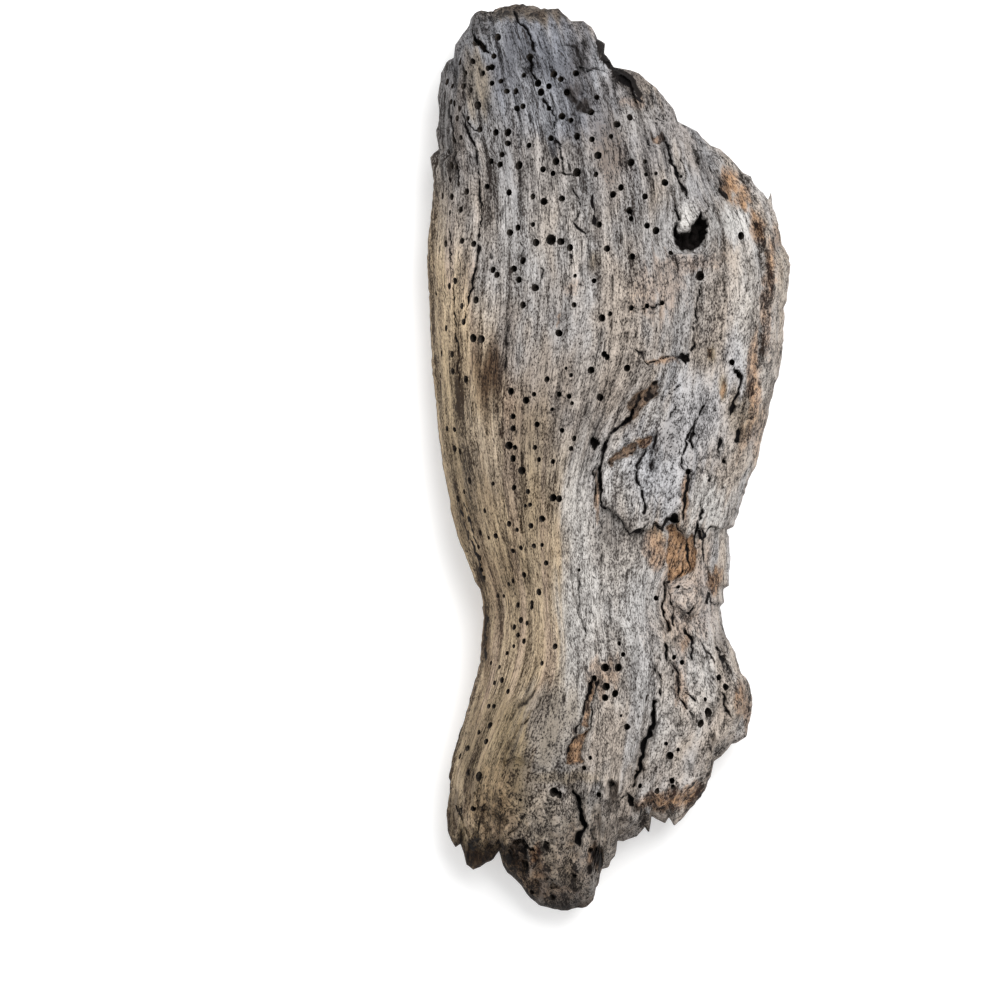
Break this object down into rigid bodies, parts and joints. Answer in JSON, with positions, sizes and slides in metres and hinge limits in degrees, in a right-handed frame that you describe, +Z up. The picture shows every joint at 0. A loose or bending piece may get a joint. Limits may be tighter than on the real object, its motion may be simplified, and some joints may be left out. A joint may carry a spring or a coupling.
{
  "type": "piece of driftwood",
  "caption": "Weathered piece of driftwood with a broad worn top end, a narrow waist and a flared broken root end, its grey wood riddled with insect bores",
  "frame": {"origin": "centre of the bounding box in plan, on the plane of the flat spot the piece rests on", "axes": "+Y runs along the fibres towards the broad top end, +X across the piece towards its knotted side, +Z up out of the weathered front"},
  "size_m": [0.1055, 0.2631, 0.0478],
  "materials": {
    "weathered_wood": "dry, matt, sun-bleached"
  },
  "bodies": {
    "root": {"driftwood": "weathered_wood"}
  },
  "joints": []
}
